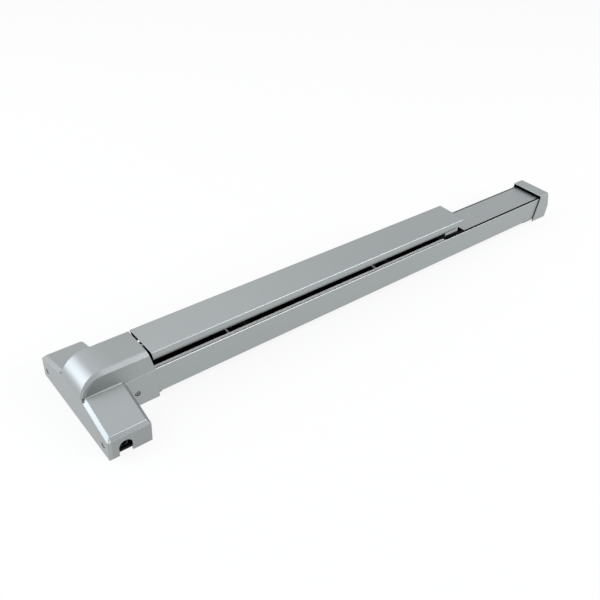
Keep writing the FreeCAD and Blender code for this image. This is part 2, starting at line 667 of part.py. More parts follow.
def floor_screw_cutters(x):
    radius = FLOOR_SCREW_RADIUS + SEAT_CLEARANCE
    depth = CHANNEL_WALL + FLOOR_SCREW_DEPTH
    return [rod(radius, p - V(0, 0, depth), p + V(0, 0, SPARE)) for p in floor_screw_points(x)]


# Tail cover plate: snapped between the lips, flush with the channel

def tail_cover_plate():
    leg_out = HALF_OPENING - SLIDE_CLEARANCE
    leg_in = leg_out - TAIL_COVER_LEG_WALL
    foot = LIP_TOP - TAIL_COVER_LEG
    hook_top = LIP_BOTTOM - SLIDE_CLEARANCE
    hook_out = HALF_OPENING + TAIL_COVER_HOOK
    section = [
        (leg_in, LIP_TOP), (leg_in, foot), (leg_out, foot), (hook_out, hook_top), (leg_out, hook_top),
        (leg_out, LIP_TOP), (TAIL_COVER_HALF, LIP_TOP), (TAIL_COVER_HALF, CHANNEL_TOP),
    ]
    return long_prism(both_sides(section), TAIL_COVER_START, CHANNEL_END)


# End cap and tail bracket

def cap_outline(wall, start, lean, bottom):
    """The cap from the side; wall is how far it lies inside the outer face, lean how far its mouth
    leans back at the roof."""
    slope = (CAP_HEIGHT - CAP_BEVEL_START) / CAP_BEVEL
    set_back = wall * math.sqrt(1 + slope ** 2) / slope
    knee_z = CAP_BEVEL_START - (set_back - wall) * slope
    top_x = BAR_END - CAP_BEVEL - set_back + wall / slope
    return [(start, bottom), (BAR_END - wall, bottom), (BAR_END - wall, knee_z), (top_x, CAP_HEIGHT - wall),
            (start + lean, CAP_HEIGHT - wall)]


def end_cap():
    outer = side_prism(cap_outline(0.0, CAP_START, CAP_MOUTH_LEAN, 0.0), -CAP_HALF, CAP_HALF)
    rims = []
    for edge in outer.Edges:
        box = edge.BoundBox
        on_door = box.ZMax < TOLERANCE
        on_mouth = box.XMax < CAP_START + CAP_MOUTH_LEAN + TOLERANCE
        if not on_door and not on_mouth:
            rims.append(edge)
    outer = outer.makeFillet(CAP_EDGE_RADIUS, rims)
    inner = side_prism(cap_outline(CAP_WALL, CAP_START - SPARE, 0.0, -SPARE), -CAP_INNER, CAP_INNER)
    hole = countersunk_hole(V(BAR_END, 0, CAP_SCREW_HEIGHT), V(1, 0, 0), COVER_SCREW_LENGTH)
    return drilled(outer, [inner, hole])


def tail_bracket():
    half = TONGUE_WIDTH / 2
    plate = block(TAIL_PLATE_START, TAIL_PLATE_END, -half, half, 0, PLATE_THICKNESS)
    lug = block(CAP_LUG_END - CAP_LUG_THICKNESS, CAP_LUG_END, -CAP_LUG_WIDTH / 2, CAP_LUG_WIDTH / 2,
                0, PLATE_THICKNESS + CAP_LUG_HEIGHT)
    bracket = fuse([plate, lug])
    cutters = floor_screw_cutters(TAIL_PLATE_START + TAIL_FLOOR_SCREW_INSET)
    for side in (-1, 1):
        foot = V(TAIL_BOLT_X, side * TAIL_BOLT_SPACING / 2, -SPARE)
        cutters.append(rod(BOLT_HOLE_RADIUS, foot, foot + V(0, 0, PLATE_THICKNESS + 2 * SPARE)))
    mouth = V(BAR_END, 0, CAP_SCREW_HEIGHT)
    cutters.append(rod(COVER_SCREW_RADIUS + SEAT_CLEARANCE, mouth, mouth - V(CAP_LENGTH / 2, 0, 0)))
    return drilled(bracket, cutters)


# Push pad: an extruded C with rails for its brackets

def pad_side_edges(x, half, radius_top, radius_curl, lift):
    """The wall of the pad on one side, from its roof to its curled toe; lift is the wall's inset."""
    top = PAD_TOP - lift
    bottom = PAD_BOTTOM + lift
    curl_y = PAD_HALF - PAD_CURL_RADIUS
    curl_z = PAD_TOP - PAD_SIDE_HEIGHT
    sweep = math.asin((curl_z - bottom) / radius_curl)
    k = math.sqrt(0.5)
    roof = V(x, half - radius_top, top)
    shoulder = V(x, half, top - radius_top)
    waist = V(x, half, curl_z)
    curl_mid = V(x, curl_y + radius_curl * math.cos(sweep / 2), curl_z - radius_curl * math.sin(sweep / 2))
    heel = V(x, curl_y + radius_curl * math.cos(sweep), bottom)
    toe = V(x, HALF_OPENING - PAD_TOE_SET, bottom)
    top_mid = V(x, half - radius_top * (1 - k), top - radius_top * (1 - k))
    return [
        Part.Arc(roof, top_mid, shoulder).toShape(),
        Part.LineSegment(shoulder, waist).toShape(),
        Part.Arc(waist, curl_mid, heel).toShape(),
        Part.LineSegment(heel, toe).toShape(),
    ], roof, toe


def pad_profile(x):
    """The C section on one side of the centre plane, a closed wire at X = x."""
    outer, outer_roof, outer_toe = pad_side_edges(x, PAD_HALF, PAD_TOP_RADIUS, PAD_CURL_RADIUS, 0.0)
    inner, inner_roof, inner_toe = pad_side_edges(
        x, PAD_HALF - PAD_WALL, PAD_INNER_RADIUS, PAD_CURL_RADIUS - PAD_WALL, PAD_WALL)
    centre_top = V(x, 0, PAD_TOP)
    centre_low = V(x, 0, PAD_CEILING)
    edges = [Part.LineSegment(centre_top, outer_roof).toShape()] + outer
    edges.append(Part.LineSegment(outer_toe, inner_toe).toShape())
    edges += inner
    edges.append(Part.LineSegment(inner_roof, centre_low).toShape())
    edges.append(Part.LineSegment(centre_low, centre_top).toShape())
    return Part.Wire(Part.__sortEdges__(edges))


def pad_rail(x0, x1):
    """One of the two hooked rails under the roof that hold the brackets' flanges, on the +Y side."""
    inner = FLANGE_WIDTH / 2 + SLIDE_CLEARANCE
    hook_top = FLANGE_BOTTOM - SLIDE_CLEARANCE
    hook_bottom = hook_top - RAIL_HOOK_THICKNESS
    web = block(x0, x1, inner, inner + RAIL_WALL, hook_bottom, PAD_CEILING + PAD_WALL / 2)
    hook = block(x0, x1, inner - RAIL_HOOK, inner + RAIL_WALL, hook_bottom, hook_top)
    return fuse([web, hook])


def pad_side_view():
    """The pad from the side: a slanted end beside the nose, an undercut end at the tail."""
    slant = NOSE_END_RUN / (NOSE_HEIGHT - SHOULDER_HEIGHT)
    top = PAD_TOP + SPARE
    bottom = PAD_BOTTOM - SPARE
    start_top = PAD_START - slant * SPARE
    start_bottom = PAD_START + slant * (PAD_TOP - bottom)
    knee_x = PAD_END - PAD_END_BEVEL_RUN
    knee_z = PAD_TOP - PAD_END_BEVEL_DROP
    return [(start_top, top), (start_bottom, bottom), (knee_x, bottom), (knee_x, knee_z), (PAD_END, PAD_TOP),
            (PAD_END, top)]


def push_pad():
    x0 = PAD_START - SPARE
    x1 = PAD_END + SPARE
    half = Part.Face(pad_profile(x0)).extrude(V(x1 - x0, 0, 0))
    rail = pad_rail(x0, x1)
    whole = fuse([half, mirrored(half), rail, mirrored(rail)])
    return whole.common(side_prism(pad_side_view(), -PAD_WIDTH, PAD_WIDTH)).removeSplitter()


def pad_end_guide():
    """A moulded block under the pad's tail end, guided between the channel's lips."""
    x1 = PAD_END - END_GUIDE_END_INSET
    x0 = x1 - END_GUIDE_LENGTH
    half = HALF_OPENING - END_GUIDE_SIDE_GAP
    rail_half = FLANGE_WIDTH / 2 + SLIDE_CLEARANCE - RAIL_HOOK - SLIDE_CLEARANCE
    hook_bottom = FLANGE_BOTTOM - SLIDE_CLEARANCE - RAIL_HOOK_THICKNESS
    top = hook_bottom - SLIDE_CLEARANCE
    bottom = top - END_GUIDE_HEIGHT
    knee = PAD_END - PAD_END_BEVEL_RUN - SLIDE_CLEARANCE
    shell = block(x0, x1, -half, half, bottom, top)
    w = END_GUIDE_WALL
    pocket = block(x0 + w, x1 - w, -half + w, half - w, bottom - SPARE, top - w)
    rib = block((x0 + x1 - w) / 2, (x0 + x1 + w) / 2, -half, half, bottom + w, top)
    neck = block(x0, knee, -rail_half, rail_half, top - w, FLANGE_TOP)
    flange = block(x0, knee, -FLANGE_WIDTH / 2, FLANGE_WIDTH / 2, FLANGE_BOTTOM, FLANGE_TOP)
    return fuse([shell.cut(pocket), rib, neck, flange])


# Pad brackets: folded hats whose legs reach the bell cranks

def crank_bracket_starts():
    return [CRANK_BRACKET_X, CRANK_BRACKET_X + CRANK_BRACKET_SPACING]


def pivot_x(start):
    return start + CRANK_PIVOT_OFFSET


def pad_bracket(start):
    centre = pivot_x(start) - PAD_PIN_REACH
    pin_z = CRANK_PIVOT_Z + PAD_TRAVEL / 2
    inner = PAD_LEG_INNER_WIDTH / 2
    outer = inner + PAD_LEG_THICKNESS
    foot = pin_z - PIN_RADIUS - ARM_TIP_RADIUS
    flange = block(centre - FLANGE_LENGTH / 2, centre + FLANGE_LENGTH / 2,
                   -FLANGE_WIDTH / 2, FLANGE_WIDTH / 2, FLANGE_BOTTOM, FLANGE_TOP)
    leg = block(centre - PAD_LEG_LENGTH / 2, centre + PAD_LEG_LENGTH / 2, inner, outer,
                foot, FLANGE_BOTTOM)
    run = PAD_ARM * (1 - math.cos(CRANK_SWING)) + 2 * SLOT_END_CLEARANCE
    slot = slot_cutter(V(centre, -outer - SPARE, pin_z), run, PIN_RADIUS + SLOT_CLEARANCE, V(1, 0, 0),
                       V(0, 1, 0), 2 * (outer + SPARE))
    return fuse([flange, leg, mirrored(leg)]).cut(slot)


# Crank brackets: pressed steel, riveted to the channel's floor

def bracket_rivet_points(start):
    xs = [start + PAD_LEG_LENGTH, start + BRACKET_LENGTH - PAD_LEG_LENGTH]
    return [(x, side * BRACKET_RIVET_Y) for x in xs for side in (-1, 1)]


def crank_bracket(start):
    pivot = V(pivot_x(start), 0, CRANK_PIVOT_Z)
    half = BRACKET_WIDTH / 2
    end = start + BRACKET_LENGTH
    base = block(start, end, -half, half, CHANNEL_FLOOR, BRACKET_FLOOR)
    front = block(start, start + BRACKET_SHEET, -half, half, CHANNEL_FLOOR, LIP_BOTTOM - BRACKET_TOP_GAP)
    back = block(end - BRACKET_SHEET, end, -BRACKET_END_WIDTH / 2, BRACKET_END_WIDTH / 2, CHANNEL_FLOOR,
                 CHANNEL_FLOOR + BRACKET_END_HEIGHT)
    ear = block(pivot.x - EAR_LENGTH / 2, pivot.x + EAR_LENGTH / 2, EAR_INNER, EAR_OUTER, CHANNEL_FLOOR,
                pivot.z + EAR_RISE)
    bracket = fuse([base, front, back, ear, mirrored(ear)])
    window_half = LINK_WIDTH / 2 + SLIDE_CLEARANCE
    window = block(start - SPARE, end + SPARE, -window_half, window_half, BRACKET_FLOOR,
                   LINK_TOP + SLIDE_CLEARANCE)
    bore = rod(PIVOT_RADIUS + SEAT_CLEARANCE, pivot - V(0, half, 0), pivot + V(0, half, 0))
    cutters = [window, bore]
    for x, y in bracket_rivet_points(start):
        cutters.append(rod(RIVET_RADIUS + SEAT_CLEARANCE, V(x, y, 0), V(x, y, BRACKET_FLOOR + SPARE)))
    return drilled(bracket, cutters)


def bracket_rivets():
    rivets = []
    for start in crank_bracket_starts():
        for x, y in bracket_rivet_points(start):
            shank = rod(RIVET_RADIUS, V(x, y, CHANNEL_BASE - RIVET_TAIL), V(x, y, BRACKET_FLOOR))
            head_top = V(x, y, BRACKET_FLOOR + RIVET_HEAD_THICKNESS)
            head = rod(RIVET_HEAD_RADIUS, V(x, y, BRACKET_FLOOR), head_top)
            tail = rod(RIVET_HEAD_RADIUS, V(x, y, CHANNEL_BASE - RIVET_TAIL), V(x, y, CHANNEL_BASE))
            rivets.append(fuse([shank, head, tail]))
    return Part.makeCompound(rivets)


# Bell cranks with their pivots and pins, drawn at rest with the pad arm raised

def pad_pin_point(start):
    p = pivot_x(start)
    return V(p - PAD_ARM * math.cos(CRANK_SWING), 0, CRANK_PIVOT_Z + PAD_ARM * math.sin(CRANK_SWING))


def link_pin_point(start):
    p = pivot_x(start)
    return V(p - LINK_ARM * math.sin(CRANK_SWING), 0, CRANK_PIVOT_Z - LINK_ARM * math.cos(CRANK_SWING))


def bell_crank(start):
    across = V(0, 1, 0)
    pivot = V(pivot_x(start), 0, CRANK_PIVOT_Z)
    half_hub = CRANK_HUB_LENGTH / 2
    hub = rod(CRANK_HUB_RADIUS, pivot - across * half_hub, pivot + across * half_hub)
    pad_tip = pad_pin_point(start)
    link_tip = link_pin_point(start)
    arm_in = across * (half_hub - PAD_ARM_THICKNESS)
    arm = link_plate(CRANK_HUB_RADIUS, pivot + arm_in, ARM_TIP_RADIUS, pad_tip + arm_in,
                     PAD_ARM_THICKNESS, across)
    low = across * (-LINK_ARM_THICKNESS / 2)
    tail = link_plate(CRANK_HUB_RADIUS, pivot + low, ARM_TIP_RADIUS, link_tip + low,
                      LINK_ARM_THICKNESS, across)
    crank = fuse([hub, arm, mirrored(arm), tail])
    reach = across * (half_hub + SPARE)
    bore = rod(PIVOT_RADIUS + RUNNING_CLEARANCE, pivot - reach, pivot + reach)
    pad_hole = rod(PIN_RADIUS + SEAT_CLEARANCE, pad_tip - reach, pad_tip + reach)
    link_hole = rod(PIN_RADIUS + SEAT_CLEARANCE, link_tip - reach, link_tip + reach)
    return drilled(crank, [bore, pad_hole, link_hole])


def crank_pivot(start):
    """A headed pin through the bracket's ears, peened over at its other end."""
    centre = V(pivot_x(start), 0, CRANK_PIVOT_Z)
    face = V(0, EAR_OUTER, 0)
    head = V(0, EAR_OUTER + PIVOT_HEAD_THICKNESS, 0)
    shaft = rod(PIVOT_RADIUS, centre - face, centre + face)
    near = rod(PIVOT_HEAD_RADIUS, centre - head, centre - face)
    far = rod(PIVOT_HEAD_RADIUS, centre + face, centre + head)
    return fuse([shaft, near, far])


def cross_pin(centre, half_length):
    return rod(PIN_RADIUS, centre - V(0, half_length, 0), centre + V(0, half_length, 0))


def pad_pin(start):
    return cross_pin(pad_pin_point(start), CRANK_HUB_LENGTH / 2 + PIN_END / 2)


def link_ear_outer():
    return LINK_ARM_THICKNESS / 2 + SIDE_CLEARANCE + LINK_EAR_THICKNESS


def link_pin(start):
    return cross_pin(link_pin_point(start), link_ear_outer() + PIN_END)


# Actuating link: a flat bar with an ear pair and a spring tab at each crank

def link_fittings(start):
    pin_x = link_pin_point(start).x
    rise = LINK_ARM * (1 - math.cos(CRANK_SWING))
    slot_z = CRANK_PIVOT_Z - LINK_ARM + rise / 2
    inner = LINK_ARM_THICKNESS / 2 + SIDE_CLEARANCE
    outer = link_ear_outer()
    top = slot_z + PIN_RADIUS + LINK_EAR_RISE
    ear = block(pin_x - LINK_EAR_LENGTH / 2, pin_x + LINK_EAR_LENGTH / 2, inner, outer, LINK_BOTTOM, top)
    tab_x = pivot_x(start) + SPRING_TAB_OFFSET
    tab_top = SPRING_AXIS_Z + SPRING_MEAN_RADIUS + SPRING_WIRE_RADIUS
    tab = block(tab_x, tab_x + SPRING_TAB_THICKNESS, -SPRING_TAB_WIDTH / 2, SPRING_TAB_WIDTH / 2, LINK_BOTTOM,
                tab_top)
    run = rise + 2 * SLOT_CLEARANCE
    slot = slot_cutter(V(pin_x, -outer - SPARE, slot_z), run, PIN_RADIUS + SLOT_CLEARANCE, V(0, 0, 1),
                       V(0, 1, 0), 2 * (outer + SPARE))
    return fuse([ear, mirrored(ear), tab]).cut(slot)


def link_start_x():
    return rocker_input_point().x - RETRACTOR_REACH


def actuating_link():
    starts = crank_bracket_starts()
    end_x = pivot_x(starts[-1]) + LINK_TAIL
    bar = block(link_start_x(), end_x, -LINK_WIDTH / 2, LINK_WIDTH / 2, LINK_BOTTOM, LINK_TOP)
    link = fuse([bar] + [link_fittings(start) for start in starts])
    return drilled(link, retractor_rivet_holes())


def return_spring(start):
    """A coil spring between the link's tab and the bracket's end wall."""
    tab_face = pivot_x(start) + SPRING_TAB_OFFSET + SPRING_TAB_THICKNESS
    room = SPRING_LENGTH - 2 * SPRING_SEAT_GAP - 2 * SPRING_WIRE_RADIUS
    pitch = room / SPRING_TURNS
    helix = Part.makeHelix(pitch, room, SPRING_MEAN_RADIUS)
    circle = Part.makeCircle(SPRING_WIRE_RADIUS, V(SPRING_MEAN_RADIUS, 0, 0), V(0, 1, 0))
    coil = Part.Wire(helix.Edges).makePipeShell([Part.Wire(circle)], True, True)
    coil.rotate(V(0, 0, 0), V(0, 1, 0), 90)
    coil.translate(V(tab_face + SPRING_SEAT_GAP + SPRING_WIRE_RADIUS, 0, SPRING_AXIS_Z))
    return coil


# Retractor plate: carries the link's pull to both rockers

def rocker_input_point():
    """Where the upper rocker's input pin stands at rest."""
    x = ROCKER_PIVOT_X - ROCKER_INPUT_ARM * math.sin(ROCKER_SWING)
    return V(x, ROCKER_PIVOT_Y - ROCKER_INPUT_ARM * math.cos(ROCKER_SWING), 0)


def rocker_output_point():
    """Where the upper rocker's output pin stands at rest."""
    x = ROCKER_PIVOT_X - ROCKER_OUTPUT_ARM * math.cos(ROCKER_SWING)
    return V(x, ROCKER_PIVOT_Y + ROCKER_OUTPUT_ARM * math.sin(ROCKER_SWING), 0)


def retractor_rivet_points():
    x0 = link_start_x() + RETRACTOR_LENGTH
    return [V(x0 - 2 * RETRACTOR_REACH, 0, 0), V(x0 - RETRACTOR_REACH, 0, 0)]


def retractor_rivet_holes():
    radius = RIVET_RADIUS + SEAT_CLEARANCE
    return [rod(radius, p, p + V(0, 0, RETRACTOR_TOP + SPARE)) for p in retractor_rivet_points()]


def retractor_plate():
    x0 = link_start_x()
    plate = block(x0, x0 + RETRACTOR_LENGTH, -RETRACTOR_WIDTH / 2, RETRACTOR_WIDTH / 2,
                  LINK_TOP, RETRACTOR_TOP)
    side = ROCKER_INPUT_ARM * (1 - math.cos(ROCKER_SWING))
    centre = V(rocker_input_point().x, ROCKER_PIVOT_Y - ROCKER_INPUT_ARM + side / 2, LINK_TOP - SPARE)
    slot = slot_cutter(centre, side + 2 * SLOT_CLEARANCE, PIN_RADIUS + SLOT_CLEARANCE, V(0, 1, 0), V(0, 0, 1),
                       RETRACTOR_THICKNESS + 2 * SPARE)
    return drilled(plate, [slot, mirrored(slot)] + retractor_rivet_holes())


def retractor_rivets():
    rivets = []
    for p in retractor_rivet_points():
        low = p + V(0, 0, LINK_BOTTOM)
        high = p + V(0, 0, RETRACTOR_TOP)
        shank = rod(RIVET_RADIUS, low, high)
        head = rod(RIVET_HEAD_RADIUS, high, high + V(0, 0, RIVET_HEAD_THICKNESS))
        rivets.append(fuse([shank, head]))
    return Part.makeCompound(rivets)


# Rockers: flat bell cranks that turn the pull outwards to the rods

def rocker():
    up = V(0, 0, 1)
    level = V(0, 0, ROCKER_BOTTOM)
    pivot = V(ROCKER_PIVOT_X, ROCKER_PIVOT_Y, 0)
    input_tip = rocker_input_point()
    output_tip = rocker_output_point()
    arms = []
    for tip in (input_tip, output_tip):
        arms.append(link_plate(ROCKER_HUB_RADIUS, pivot + level, ROCKER_TIP_RADIUS, tip + level,
                               ROCKER_THICKNESS, up))
    plate = fuse(arms)
    bore = rod(PIVOT_RADIUS + RUNNING_CLEARANCE, pivot, pivot + up * (ROCKER_TOP + SPARE))
    pin_hole = PIN_RADIUS + SEAT_CLEARANCE
    holes = [rod(pin_hole, tip, tip + up * (ROCKER_TOP + SPARE)) for tip in (input_tip, output_tip)]
    return drilled(plate, [bore] + holes)


def rocker_pins():
    """The two pins riveted into a rocker: one in the retractor plate, one in the rod connector."""
    input_low = rocker_input_point() + V(0, 0, LINK_TOP + SLIDE_CLEARANCE)
    output_low = rocker_output_point() + V(0, 0, CONNECTOR_TOP - CONNECTOR_PIN_DEPTH + SLIDE_CLEARANCE)
    pins = []
    for low in (input_low, output_low):
        pins.append(rod(PIN_RADIUS, low, V(low.x, low.y, ROCKER_TOP + PIN_END)))
    return Part.makeCompound(pins)


def rocker_pivots():
    """Shoulder rivets that stand in the chassis bosses and hold the rockers down."""
    foot = V(ROCKER_PIVOT_X, ROCKER_PIVOT_Y, PLATE_THICKNESS)
    under_head = V(ROCKER_PIVOT_X, ROCKER_PIVOT_Y, ROCKER_TOP + SLIDE_CLEARANCE)
    shank = rod(PIVOT_RADIUS, foot, under_head)
    head = rod(ROCKER_HEAD_RADIUS, under_head, under_head + V(0, 0, PIVOT_HEAD_THICKNESS))
    pivot = fuse([shank, head])
    return Part.makeCompound([pivot, mirrored(pivot)])


# Rod connectors: square bars, tapped for the vertical rods

def rod_connector():
    out = rocker_output_point()
    half = CONNECTOR_WIDTH / 2
    inner_y = out.y - CONNECTOR_TAIL
    bar = block(ROD_LINE_X - half, ROD_LINE_X + half, inner_y, CONNECTOR_END, CONNECTOR_BOTTOM, CONNECTOR_TOP)
    mouth = V(ROD_LINE_X, CONNECTOR_END, ROD_LINE_Z)
    thread = rod(CONNECTOR_THREAD_RADIUS, mouth - V(0, CONNECTOR_THREAD_DEPTH, 0), mouth + V(0, SPARE, 0))
    slot_floor = V(ROD_LINE_X, out.y, CONNECTOR_TOP - CONNECTOR_PIN_DEPTH)
    slot = slot_cutter(slot_floor, ROCKER_SAG + 2 * SLOT_CLEARANCE, PIN_RADIUS + SLOT_CLEARANCE,
                       V(1, 0, 0), V(0, 0, 1), CONNECTOR_PIN_DEPTH + SPARE)
    return drilled(bar, [thread, slot])


def guide_plate():
    """A keeper over one connector, screwed to the guide walls."""
    outer = CONNECTOR_WIDTH / 2 + SLIDE_CLEARANCE + GUIDE_WALL
    z0 = CONNECTOR_TOP + SLIDE_CLEARANCE
    plate = block(ROD_LINE_X - outer, ROD_LINE_X + outer, GUIDE_START_Y, GUIDE_START_Y + GUIDE_LENGTH, z0,
                  z0 + GUIDE_PLATE_THICKNESS)
    return drilled(plate, guide_screw_holes())


# Screws

def guide_plate_screws():
    top = CONNECTOR_TOP + SLIDE_CLEARANCE + GUIDE_PLATE_THICKNESS
    screws = []
    for p in guide_screw_points():
        under_head = p + V(0, 0, top)
        shank = rod(GUIDE_SCREW_RADIUS, under_head - V(0, 0, GUIDE_SCREW_DEPTH - SLIDE_CLEARANCE), under_head)
        head = rod(GUIDE_SCREW_HEAD_RADIUS, under_head, under_head + V(0, 0, GUIDE_SCREW_HEAD))
        screw = fuse([shank, head])
        screws += [screw, mirrored(screw)]
    return Part.makeCompound(screws)


def head_face_screws():
    screw = countersunk_screw(V(HEAD_LEFT, FACE_SCREW_Y, FACE_SCREW_Z), V(-1, 0, 0), V(0, 0, 1),
                              COVER_SCREW_LENGTH - SLIDE_CLEARANCE)
    return Part.makeCompound([screw, mirrored(screw)])


def skirt_screws():
    screw = countersunk_screw(V(SKIRT_SCREW_X, SKIRT_HALF, SKIRT_SCREW_Z), V(0, 1, 0), V(0, 0, 1),
                              SKIRT_SCREW_LENGTH)
    return Part.makeCompound([screw, mirrored(screw)])


def channel_floor_screws():
    screws = []
    for x in (HEAD_FLOOR_SCREW_X, TAIL_PLATE_START + TAIL_FLOOR_SCREW_INSET):
        for p in floor_screw_points(x):
            tip = p - V(0, 0, CHANNEL_WALL + FLOOR_SCREW_DEPTH - SLIDE_CLEARANCE)
            shank = rod(FLOOR_SCREW_RADIUS, tip, p)
            head = rod(FLOOR_SCREW_HEAD_RADIUS, p, p + V(0, 0, FLOOR_SCREW_HEAD))
            screws.append(fuse([shank, head]))
    return Part.makeCompound(screws)


def end_cap_screw():
    return countersunk_screw(V(BAR_END, 0, CAP_SCREW_HEIGHT), V(1, 0, 0), V(0, 0, 1),
                             TAIL_PLATE_INSET + CAP_WALL + CAP_LUG_THICKNESS)


def all_nodes():
    head_start, tail_start = crank_bracket_starts()
    nodes = {
        "head_cover": head_cover(),
        "head_chassis": head_chassis(),
        "channel": channel(),
        "tail_cover_plate": tail_cover_plate(),
        "end_cap": end_cap(),
        "tail_bracket": tail_bracket(),
        "push_pad": push_pad(),
        "pad_end_guide": pad_end_guide(),
        "bracket_rivets": bracket_rivets(),
        "actuating_link": actuating_link(),
        "retractor_plate": retractor_plate(),
        "retractor_rivets": retractor_rivets(),
        "rocker_pivots": rocker_pivots(),
        "guide_plate_screws": guide_plate_screws(),
        "head_face_screws": head_face_screws(),
        "skirt_screws": skirt_screws(),
        "channel_floor_screws": channel_floor_screws(),
        "end_cap_screw": end_cap_screw(),
    }
    for side, start in (("head", head_start), ("tail", tail_start)):
        nodes[side + "_pad_bracket"] = pad_bracket(start)
        nodes[side + "_crank_bracket"] = crank_bracket(start)
        nodes[side + "_bell_crank"] = bell_crank(start)
        nodes[side + "_crank_pivot"] = crank_pivot(start)
        nodes[side + "_pad_pin"] = pad_pin(start)
        nodes[side + "_link_pin"] = link_pin(start)
        nodes[side + "_return_spring"] = return_spring(start)
    for piece in (rocker, rocker_pins, rod_connector, guide_plate):
        upper = piece()
        nodes["upper_" + piece.__name__] = upper
        nodes["lower_" + piece.__name__] = mirrored(upper)
    return nodes


os.makedirs("parts", exist_ok=True)
for name, shape in all_nodes().items():
    shape.exportStep("parts/" + name + ".step")
    state = "valid" if shape.isValid() else "NOT VALID"
    print(name, state, len(shape.Solids), "solids", round(shape.Volume, 1), "mm3")
print("pad travel", PAD_TRAVEL, "link travel", round(LINK_TRAVEL, 4), "rod travel", round(ROD_TRAVEL, 4))
print("crank swing", round(math.degrees(2 * CRANK_SWING), 4))
print("rocker swing", round(math.degrees(2 * ROCKER_SWING), 4))
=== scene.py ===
import math

import bmesh
import bpy
from mathutils import Matrix, Vector


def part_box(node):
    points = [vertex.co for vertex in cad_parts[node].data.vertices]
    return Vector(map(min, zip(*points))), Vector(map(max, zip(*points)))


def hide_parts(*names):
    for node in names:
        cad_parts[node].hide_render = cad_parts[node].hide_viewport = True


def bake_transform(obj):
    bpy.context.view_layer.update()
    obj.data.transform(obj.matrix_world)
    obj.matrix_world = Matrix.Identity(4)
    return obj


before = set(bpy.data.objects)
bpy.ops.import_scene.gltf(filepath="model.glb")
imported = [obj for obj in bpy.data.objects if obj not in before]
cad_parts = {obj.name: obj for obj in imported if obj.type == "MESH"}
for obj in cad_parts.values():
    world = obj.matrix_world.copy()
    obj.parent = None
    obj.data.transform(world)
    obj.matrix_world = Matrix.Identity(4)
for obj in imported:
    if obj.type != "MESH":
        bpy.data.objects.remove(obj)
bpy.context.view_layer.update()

# The bar lies on its back on a pale table, as it comes out of its box.
# The camera looks down on it over the crossbar, along the bar towards the end cap.
scene = bpy.context.scene
scene.view_settings.view_transform = "Standard"

camera_data = bpy.data.cameras.new("camera")
camera_data.lens = 41.765
camera_data.shift_x = 0.0173
camera_data.shift_y = 0.01675
camera = bpy.data.objects.new("camera", camera_data)
camera_place = Vector((-0.24534, -0.63697, 0.68123))
camera_right = Vector((0.77605, -0.62698, 0.06820))
camera_up = Vector((0.34425, 0.51173, 0.78717))
camera_turn = Matrix((camera_right, camera_up, camera_right.cross(camera_up))).transposed()
camera.matrix_world = Matrix.Translation(camera_place) @ camera_turn.to_4x4()
scene.collection.objects.link(camera)
scene.camera = camera


# Three soft lamps stand round the table: a tall one far to the left that runs a highlight down the
# nose, a low one to the right that draws the long near edges, and a faint one overhead.
def softbox(name, place, aim, width, height, power, colour):
    lamp = bpy.data.lights.new(name, "AREA")
    lamp.shape = "RECTANGLE"
    lamp.size = width
    lamp.size_y = height
    lamp.energy = power
    lamp.color = colour
    holder = bpy.data.objects.new(name, lamp)
    toward = Vector(aim) - Vector(place)
    turn = toward.to_track_quat("-Z", "Y").to_matrix()
    holder.matrix_world = Matrix.Translation(place) @ turn.to_4x4()
    scene.collection.objects.link(holder)


nose_centre = (0.0, 0.0, 0.06)
bar_middle = (0.45, 0.0, 0.0)
softbox("left_lamp", (-1.650, 1.030, 1.08), nose_centre, 1.5, 2.4, 36.0, (0.87, 0.93, 1.0))
softbox("key_lamp", (2.00, -2.20, 1.50), bar_middle, 2.4, 1.2, 46.0, (0.97, 1.0, 1.0))
softbox("top_lamp", (0.6, 1.0, 2.1), bar_middle, 1.8, 1.8, 5.0, (1.0, 0.99, 0.98))


def seen_share(tree, share):
    """The part of a ray from the camera, off metal or through glass that meets plain white."""
    path = tree.nodes.new("ShaderNodeLightPath")
    part = path.outputs["Is Camera Ray"]
    for ray in ("Is Glossy Ray", "Is Transmission Ray"):
        either = tree.nodes.new("ShaderNodeMath")
        either.operation = "MAXIMUM"
        tree.links.new(part, either.inputs[0])
        tree.links.new(path.outputs[ray], either.inputs[1])
        part = either.outputs[0]
    scaled = tree.nodes.new("ShaderNodeMath")
    scaled.operation = "MULTIPLY"
    scaled.inputs[1].default_value = share
    tree.links.new(part, scaled.inputs[0])
    return scaled.outputs[0]


def mix_seen(tree, share, lit, seen, output):
    """Joins what lights the bar and what is seen into one output of a tree."""
    mix = tree.nodes.new("ShaderNodeMixShader")
    tree.links.new(seen_share(tree, share), mix.inputs[0])
    tree.links.new(lit.outputs[0], mix.inputs[1])
    tree.links.new(seen.outputs[0], mix.inputs[2])
    tree.links.new(mix.outputs[0], tree.nodes[output].inputs["Surface"])


world = bpy.data.worlds.new("studio")
world.use_nodes = True
scene.world = world
sky = world.node_tree
sky_light = sky.nodes["Background"]
sky_light.inputs["Color"].default_value = (1.0, 1.0, 1.0, 1.0)
sky_light.inputs["Strength"].default_value = 0.68
sky_seen = sky.nodes.new("ShaderNodeBackground")
sky_seen.inputs["Color"].default_value = (0.90, 0.90, 0.91, 1.0)
sky_seen.inputs["Strength"].default_value = 1.0
mix_seen(sky, 1.0, sky_light, sky_seen, "World Output")

